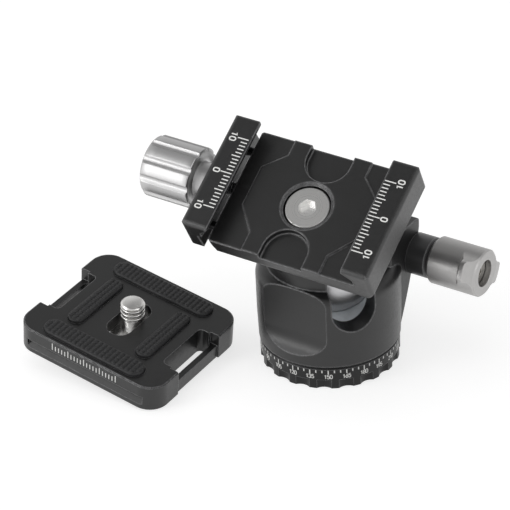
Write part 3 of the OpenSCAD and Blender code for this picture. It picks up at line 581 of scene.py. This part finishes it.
def base_scale():
    """Ticks every 5 degrees and a number every 15, wrapped round the base ring."""
    radius = reach("pan_base", Vector(), Z_AXIS)
    top, number_foot = 5.45 * MM, 3.0 * MM
    line, short, long = 0.30 * MM, 0.75 * MM, 1.15 * MM
    digit_height, digit_stroke = 1.1 * MM, 0.23 * MM
    zero_angle = -59.5 - 150.0          # the mark 150 stands at -59.5 degrees in the photograph
    outlines = []
    for value in range(0, 360, 5):
        numbered = value % 15 == 0
        length = long if numbered else short
        along = math.radians(zero_angle + value) * radius
        outlines.append(rectangle(along, top - length / 2, length, line))
        if numbered:
            number = number_outlines(str(value), digit_height, digit_stroke)
            outlines += moved(number, Matrix.Translation((along, number_foot, 0)))
    bm = flat_faces(outlines, MARK_DEPTH)
    for v in bm.verts:
        angle, rise, out = v.co.x / radius, v.co.y, v.co.z
        shell = radius + out + MARK_PROUD
        v.co = (shell * math.cos(angle), shell * math.sin(angle), rise)
    add_piece("scale_base", bm, Matrix(), "base", WHITE_MARK)


base_scale()


# ---------------------------------------------------------------- knobs

KNOB_SMOOTH = 35                        # degrees: sharper edges of a knob stay sharp


def polar_solid(sections, columns, bore=False):
    """A solid from rings round Z, each given as its height and its radius.

    A radius is a number or a function of the angle. With bore the last ring joins the first one,
    otherwise both ends are closed."""
    bm = bmesh.new()
    rings = []
    for z, radius in sections:
        ring = []
        for column in range(columns):
            angle = 2 * math.pi * column / columns
            size = radius(angle) if callable(radius) else radius
            ring.append(bm.verts.new((size * math.cos(angle), size * math.sin(angle), z)))
        rings.append(ring)
    join_rings(bm, rings, bore)
    bmesh.ops.recalc_face_normals(bm, faces=bm.faces)
    return bm


def lock_knob():
    """The grey knob: a barrel whose end spreads into two swept wings with hollow fillets.

    Sizes are in millimetres; z is 0 at the knob's end by the housing."""
    barrel_r, length, bore_r = 6.2, 14.0, 2.02
    chamfer, end_chamfer = 0.7, 0.4
    tip, half_tip, corner_r = 10.75, 2.8, 1.6        # reach and half width of a wing, its corners
    tip_back, tip_front, tip_round = 11.4, 12.8, 0.45    # where its tip lies along the knob
    fillet_r = 6.5                                   # hollow between a wing and the barrel
    flank_r, flank_x, flank_z = 7.25, 11.43, 4.18    # arc by which the barrel spreads to a wing
    recess_r, recess_floor, recess_bevel, slope_r = 3.5, 10.6, 0.15, 4.5
    wing_angle = 29                                  # degrees that the far wing points down
    columns, halvings = 192, 18
    fillet_x = math.sqrt((barrel_r + fillet_r) ** 2 - (half_tip + fillet_r) ** 2)
    meets_x = fillet_x * barrel_r / (barrel_r + fillet_r)   # where a fillet meets the barrel

    def in_wing(x, y):
        if math.hypot(x, y) <= barrel_r:
            return True
        if x > fillet_x:
            dx, dy = max(0.0, x - (tip - corner_r)), max(0.0, y - (half_tip - corner_r))
            return math.hypot(dx, dy) <= corner_r
        if x < meets_x:
            return False
        return y <= half_tip + fillet_r - math.sqrt(fillet_r ** 2 - (fillet_x - x) ** 2)

    def wing_reach(angle):
        x, y = abs(math.cos(angle)), abs(math.sin(angle))
        low, high = barrel_r, tip + 0.01
        for _ in range(halvings):
            middle = (low + high) / 2
            if in_wing(middle * x, middle * y):
                low = middle
            else:
                high = middle
        return low

    reach_at = [wing_reach(2 * math.pi * c / columns) for c in range(columns)]

    def section(z):
        """Radius by angle of the knob's cut at height z."""
        barrel = barrel_r - max(0.0, chamfer - z) - max(0.0, z - (length - end_chamfer))
        if z < flank_z:
            flank = 0.0
        else:
            rise = min(z, tip_back) - flank_z
            flank = flank_x - math.sqrt(max(0.0, flank_r ** 2 - rise ** 2))
        if z <= tip_front - tip_round:
            front = tip
        elif z <= tip_front:
            past = z - tip_front + tip_round
            front = tip - tip_round + math.sqrt(max(0.0, tip_round ** 2 - past ** 2))
        else:
            slope = (slope_r - tip + tip_round) / (length - tip_front)
            front = tip - tip_round + (z - tip_front) * slope
        limit = min(flank, front)

        def radius(angle):
            column = round(angle / (2 * math.pi) * columns) % columns
            return max(barrel, min(reach_at[column], limit)) * MM
        return radius

    # close together where the wings spread, round their tips and on the end's slope
    heights = [0, 0.25, 0.5, 0.7, 1.0, 3.0, 5.0, 7.0, 8.0, 8.6, 9.0]
    heights += [9.0 + 0.2 * i for i in range(1, 12)] + [11.3, 11.4]
    heights += [11.7, 12.0, 12.35, 12.45, 12.55, 12.65, 12.72, 12.77, 12.8]
    heights += [12.8 + 0.1 * i for i in range(1, 12)] + [13.95, 14.0]
    sections = [(z * MM, section(z)) for z in heights]
    recess = [(length, recess_r + recess_bevel), (length - recess_bevel, recess_r),
              (recess_floor, recess_r), (recess_floor, bore_r), (0.0, bore_r)]
    sections += [(z * MM, radius * MM) for z, radius in recess]
    turn = math.radians(wing_angle)
    far = Vector((0, math.cos(turn), -math.sin(turn)))
    low = extent("lock_knob", LOCK_AXIS, LOCK_POINT)[0]
    where = placement(LOCK_POINT + LOCK_AXIS * low, far, LOCK_AXIS.cross(far), LOCK_AXIS)
    solid = polar_solid(sections, columns, bore=True)
    solid.transform(where)
    piece = add_piece("lock_knob_winged", solid, Matrix(), "lock_knob",
                      TITANIUM, KNOB_SMOOTH)
    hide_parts("lock_knob")


lock_knob()


def clamp_knob():
    """The bright fluted knob with a ring in its outer face and a hub at the jaw.

    Sizes are in millimetres; z is 0 at the outer face and grows towards the jaw."""
    low, high = (z / MM for z in extent("clamp_knob", CLAMP_X, KNOB_POINT))
    radius, flutes, flute_r, depth = 7.95, 10, 1.1, 0.7
    columns, near = 240, 0.01
    side = CLAMP_X.orthogonal().normalized()
    up = CLAMP_X.cross(side)
    bottom = radius - depth
    for v in frame["nodes"]["clamp_knob"].data.vertices:    # a point at the bottom of a flute
        offset = v.co - KNOB_POINT
        x, y = offset.dot(side), offset.dot(up)
        if abs(math.hypot(x, y) / MM - bottom) < near:
            phase = math.atan2(y, x)
            break
    centre = radius + flute_r - depth

    def fluted(size):
        def at(angle):
            step = 2 * math.pi / flutes
            off = (angle - phase + step / 2) % step - step / 2
            across = centre * math.sin(off)
            if abs(across) >= flute_r:
                return size * MM
            return min(size, centre * math.cos(off) - math.sqrt(flute_r ** 2 - across ** 2)) * MM
        return at

    end, hub = 13.7, high - low
    face = [(0.5, 5.35), (0.12, 5.40), (0, 5.52)]
    barrel = [(0, 0.8), (0.12, 0.58), (0.4, 0.28), (0.8, 0), (3, 0), (6, 0), (9, 0), (12, 0),
              (end - 0.4, 0), (end - 0.2, 0.06), (end - 0.06, 0.2), (end, 0.4)]
    neck = [(end, 6.3), (end - 0.25, 5.9), (end - 0.25, 4.9), (end - 0.1, 4.6), (end + 0.2, 4.5),
            (hub - 0.3, 4.5), (hub - 0.1, 4.42), (hub, 4.2)]
    sections = [(z * MM, size * MM) for z, size in face]
    sections += [(z * MM, fluted(radius - inset)) for z, inset in barrel]
    sections += [(z * MM, size * MM) for z, size in neck]
    where = placement(KNOB_POINT + CLAMP_X * low * MM, side, up, CLAMP_X)
    piece = add_piece("clamp_knob_fluted", polar_solid(sections, columns), where, "clamp_knob",
                      BRIGHT, KNOB_SMOOTH)
    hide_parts("clamp_knob")


clamp_knob()


# ---------------------------------------------------------------- threads

THREAD_SMOOTH = 50                      # degrees: sharper edges of a thread stay sharp


def replace_stud(name, node, joint, pitch, depth, chamfer, material):
    """A threaded rod in place of a plain one, on its joint's axis and as long and thick."""
    point, axis = point_of(joint), axis_of(joint)
    low, high = extent(node, axis, point)
    major = reach(node, point, axis)
    side = axis.orthogonal().normalized()
    where = placement(point + axis * low, side, axis.cross(side), axis)
    bm = thread_mesh(major, major - depth * MM, pitch * MM, high - low, chamfer * MM, columns=48)
    body = frame["nodes"][node]["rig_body"]
    piece = add_piece(name, bm, where, body, material, THREAD_SMOOTH)
    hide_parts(node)


replace_stud("clamp_stud_threaded", "clamp_stud", "clamp_knob_turn", 0.7, 0.35, 0.3, DARK_THREAD)
replace_stud("lock_stud_threaded", "lock_stud", "lock_knob_turn", 0.7, 0.4, 0.3, THREAD_STEEL)


def tripod_thread():
    """The 3/8 inch thread in the base's hole."""
    wall, major, minor, pitch = 4.757 * MM, 4.70 * MM, 4.05 * MM, 1.5875 * MM
    low, high = extent("pan_base", Z_AXIS)
    bm = thread_mesh(major, minor, pitch, high - low, 0, inward=wall)
    where = Matrix.Translation((0, 0, low))
    add_piece("tripod_thread", bm, where, "base", BLACK, THREAD_SMOOTH)


tripod_thread()


def camera_screw():
    """The CAD screw up to its neck, with a real 1/4 inch thread above the deck."""
    thread_low, neck_rise, neck_share = 0.3 * MM, 0.6 * MM, 0.8
    major, minor, pitch, chamfer = 3.175 * MM, 2.42 * MM, 1.27 * MM, 0.5 * MM
    same_place = 1e-7
    axis_point = PLATE.inverted() @ SCREW
    top = extent("camera_screw", PLATE_Z, PLATE.translation)[1]
    place = PLATE @ Matrix.Translation((axis_point.x, axis_point.y, 0))
    bm = bmesh.new()
    bm.from_mesh(frame["nodes"]["camera_screw"].data)
    bmesh.ops.remove_doubles(bm, verts=bm.verts, dist=same_place)
    bmesh.ops.transform(bm, matrix=place.inverted(), verts=bm.verts)
    bmesh.ops.bisect_plane(bm, geom=bm.verts[:] + bm.edges[:] + bm.faces[:], dist=same_place,
                           plane_co=(0, 0, thread_low / 2), plane_no=(0, 0, 1), clear_outer=True)
    rim = [edge for edge in bm.edges if edge.is_boundary]
    lift = bmesh.ops.extrude_edge_only(bm, edges=rim)
    raised = [v for v in lift["geom"] if isinstance(v, bmesh.types.BMVert)]
    bmesh.ops.translate(bm, vec=(0, 0, neck_rise), verts=raised)
    for v in raised:
        v.co.x *= neck_share
        v.co.y *= neck_share
    bmesh.ops.contextual_create(bm, geom=[edge for edge in bm.edges if edge.is_boundary])
    bmesh.ops.recalc_face_normals(bm, faces=bm.faces)
    thread = thread_mesh(major, minor, pitch, top - thread_low, chamfer, rows_per_turn=16)
    bmesh.ops.translate(thread, vec=(0, 0, thread_low), verts=thread.verts)
    spare = bpy.data.meshes.new("camera_screw_spare")
    thread.to_mesh(spare)
    thread.free()
    bm.from_mesh(spare)
    bpy.data.meshes.remove(spare)
    piece = add_piece("camera_screw_threaded", bm, place, "camera_screw",
                      THREAD_STEEL, THREAD_SMOOTH)
    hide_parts("camera_screw")


camera_screw()


# ---------------------------------------------------------------- rubber pads

def stadium_ring(length, width, inset):
    """Outline with round ends, lying along X, made smaller by inset."""
    radius = width / 2 - inset
    centre = (length - width) / 2
    return arc(centre, 0, radius, radius, -90, 90) + arc(-centre, 0, radius, radius, 90, 270)


def add_stack(bm, rings):
    """A closed solid from outlines with the same number of points, each given with its height."""
    join_rings(bm, [[bm.verts.new((x, y, z)) for x, y in ring] for ring, z in rings])


def nub_ring(x, y, half, corner):
    """A square outline with cut corners."""
    flat = half - corner
    return [(x + half, y - flat), (x + half, y + flat), (x + flat, y + half), (x - flat, y + half),
            (x - half, y + flat), (x - half, y - flat), (x - flat, y - half), (x + flat, y - half)]


PAD_SMOOTH = 40                         # degrees: sharper edges of a pad stay sharp
NUB_RISE, NUB_PITCH = 0.24 * MM, 1.38 * MM
NUB_MARGIN = 0.62 * MM                  # from a nub's middle to the pad's edge, at least
PAD_BORDER = 0.9 * MM                   # both borders beside the rows of nubs together
# a pad's rounded edge as inset and drop below its face, lowest first, in millimetres
PAD_EDGE = ((0.10, 0.42), (0.17, 0.18), (0.34, 0.04), (0.55, 0.0))


def replace_pad(node, rows):
    """A moulded pad with rows of small raised nubs, as large as the CAD pad that it replaces."""
    centre = PLATE.translation
    along, across = (PLATE_X, PLATE_Y) if "long" in node else (PLATE_Y, -PLATE_X)
    x0, x1 = extent(node, along, centre)
    y0, y1 = extent(node, across, centre)
    low, top = extent(node, PLATE_Z, centre)
    length, width = x1 - x0, y1 - y0
    face = top - NUB_RISE
    bm = bmesh.new()
    edge = [(PAD_EDGE[0][0] * MM, low)]
    edge += [(inset * MM, face - drop * MM) for inset, drop in PAD_EDGE]
    add_stack(bm, [(stadium_ring(length, width, inset), z) for inset, z in edge])
    # a nub's half width and cut corner in millimetres, and its height
    nub = ((0.56, 0.16, face - 0.08 * MM), (0.50, 0.16, face + 0.12 * MM),
           (0.42, 0.16, top - 0.06 * MM), (0.30, 0.12, top))
    columns = int(length / NUB_PITCH)
    row_pitch = (width - PAD_BORDER) / rows
    for column in range(columns):
        for row in range(rows):
            x = (column - (columns - 1) / 2) * NUB_PITCH
            y = (row - (rows - 1) / 2) * row_pitch
            off_middle = math.hypot(max(0.0, abs(x) - (length - width) / 2), y)
            if off_middle < width / 2 - NUB_MARGIN:
                add_stack(bm, [(nub_ring(x, y, half * MM, corner * MM), z)
                               for half, corner, z in nub])
    bmesh.ops.recalc_face_normals(bm, faces=bm.faces)
    middle = centre + along * (x0 + x1) / 2 + across * (y0 + y1) / 2
    piece = add_piece(node + "_nubs", bm, placement(middle, along, across, PLATE_Z),
                      "camera_plate", PAD_RUBBER, PAD_SMOOTH)
    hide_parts(node)


for pad, nub_rows in (("pad_long_near", 4), ("pad_long_far", 4),
                      ("pad_short_left", 3), ("pad_short_right", 3)):
    replace_pad(pad, nub_rows)


# ---------------------------------------------------------------- camera, floor and light

PHOTO_PX = 510
FOCAL_PX = 2307                         # focal length found from the photograph, in its pixels
SENSOR_MM = 36
CAMERA_AT = Vector((268.9, -415.5, 336.8)) * MM
CAMERA_RIGHT = Vector((0.8331, 0.5518, -0.0424))
CAMERA_UP = Vector((-0.2617, 0.4602, 0.8484))
CAMERA_BACK = Vector((0.4877, -0.6957, 0.5277))

FLOOR_HALF, FLOOR_DROP = 4.0, 0.02 * MM
FLOOR_GREY = 0.46                       # its own colour, which lights the object from below
FLOOR_LIFT = 0.70                       # added where it is seen, so that it looks white

WORLD_DIFFUSE = 0.5                     # what the studio gives as light
WORLD_LOW, WORLD_OVERHEAD = 0.8, 0.22   # what reflections see of it, low down and overhead
WORLD_LOW_Z, WORLD_OVERHEAD_Z = 0.45, 1.0

SOFTBOX_TARGET = Vector((0, -0.01, 0.03))
# name, place, width and height in metres, radiance, whether reflections show it
SOFTBOXES = (
    ("softbox_front_left", (-0.45, -0.50, 0.65), 0.40, 0.40, 2.4, True),
    ("softbox_low", (-0.43, -0.74, 0.26), 0.36, 0.26, 5.0, True),
    ("softbox_right", (0.75, -0.10, 0.35), 0.40, 0.40, 1.7, True),
    ("softbox_top", (-0.10, -0.10, 0.95), 0.60, 0.60, 0.8, False),
)


def add_camera():
    data = bpy.data.cameras.new("camera")
    data.sensor_width = SENSOR_MM
    data.lens = FOCAL_PX * SENSOR_MM / PHOTO_PX
    camera = bpy.data.objects.new("camera", data)
    camera.matrix_world = placement(CAMERA_AT, CAMERA_RIGHT, CAMERA_UP, CAMERA_BACK)
    bpy.context.scene.collection.objects.link(camera)
    bpy.context.scene.camera = camera


def seen_light_path(tree):
    """The light path node, and 1 for camera, glossy and transmission rays."""
    path = tree.nodes.new("ShaderNodeLightPath")
    total = path.outputs["Is Camera Ray"]
    for ray in ("Is Glossy Ray", "Is Transmission Ray"):
        add = tree.nodes.new("ShaderNodeMath")
        add.operation, add.use_clamp = "ADD", True
        tree.links.new(total, add.inputs[0])
        tree.links.new(path.outputs[ray], add.inputs[1])
        total = add.outputs[0]
    return path, total


def add_floor():
    """Plain pale floor; seen directly it is lifted to white, and it keeps the soft shadow."""
    bm = bmesh.new()
    bmesh.ops.create_grid(bm, x_segments=1, y_segments=1, size=FLOOR_HALF)
    mesh = bpy.data.meshes.new("floor")
    bm.to_mesh(mesh)
    bm.free()
    floor = bpy.data.objects.new("floor", mesh)
    floor.location.z = -FLOOR_DROP
    bpy.context.scene.collection.objects.link(floor)
    material = bpy.data.materials.new("floor_pale")
    material.use_nodes = True
    tree = material.node_tree
    shader = tree.nodes["Principled BSDF"]
    shader.inputs["Base Color"].default_value = (FLOOR_GREY, FLOOR_GREY, FLOOR_GREY, 1)
    shader.inputs["Roughness"].default_value = 0.9
    shader.inputs["Specular IOR Level"].default_value = 0.0
    shader.inputs["Emission Color"].default_value = (1, 1, 1, 1)
    _, seen = seen_light_path(tree)
    lift = tree.nodes.new("ShaderNodeMath")
    lift.operation = "MULTIPLY"
    lift.inputs[1].default_value = FLOOR_LIFT
    tree.links.new(seen, lift.inputs[0])
    tree.links.new(lift.outputs[0], shader.inputs["Emission Strength"])
    mesh.materials.append(material)


def add_world():
    """Even pale light; reflections see a studio that is bright low down and dark overhead."""
    world = bpy.data.worlds.new("studio")
    bpy.context.scene.world = world
    world.use_nodes = True
    tree = world.node_tree
    background = tree.nodes["Background"]
    path, seen = seen_light_path(tree)
    place = tree.nodes.new("ShaderNodeTexCoord")
    split = tree.nodes.new("ShaderNodeSeparateXYZ")
    tree.links.new(place.outputs["Generated"], split.inputs[0])
    height = tree.nodes.new("ShaderNodeMapRange")
    height.inputs["From Min"].default_value = WORLD_LOW_Z
    height.inputs["From Max"].default_value = WORLD_OVERHEAD_Z
    height.inputs["To Min"].default_value = WORLD_LOW
    height.inputs["To Max"].default_value = WORLD_OVERHEAD
    tree.links.new(split.outputs["Z"], height.inputs["Value"])
    strength = tree.nodes.new("ShaderNodeMix")
    strength.data_type = "FLOAT"
    strength.inputs[2].default_value = WORLD_DIFFUSE
    tree.links.new(seen, strength.inputs["Factor"])
    tree.links.new(height.outputs["Result"], strength.inputs[3])
    white = tree.nodes.new("ShaderNodeMix")
    white.data_type = "FLOAT"
    white.inputs[3].default_value = 1.0
    tree.links.new(path.outputs["Is Camera Ray"], white.inputs["Factor"])
    tree.links.new(strength.outputs[0], white.inputs[2])
    background.inputs["Color"].default_value = (1, 1, 1, 1)
    tree.links.new(white.outputs[0], background.inputs["Strength"])


def add_softbox(name, at, width, height, radiance, shows):
    """Rectangular soft light aimed at the object."""
    data = bpy.data.lights.new(name, "AREA")
    data.shape = "RECTANGLE"
    data.size, data.size_y = width, height
    data.energy = radiance * math.pi * width * height
    light = bpy.data.objects.new(name, data)
    light.location = at
    light.rotation_mode = "QUATERNION"
    light.rotation_quaternion = (SOFTBOX_TARGET - Vector(at)).to_track_quat("-Z", "Y")
    light.visible_glossy = shows
    light.visible_camera = False
    bpy.context.scene.collection.objects.link(light)


add_camera()
add_floor()
add_world()
for softbox in SOFTBOXES:
    add_softbox(*softbox)

bpy.context.scene.view_settings.view_transform = "Standard"
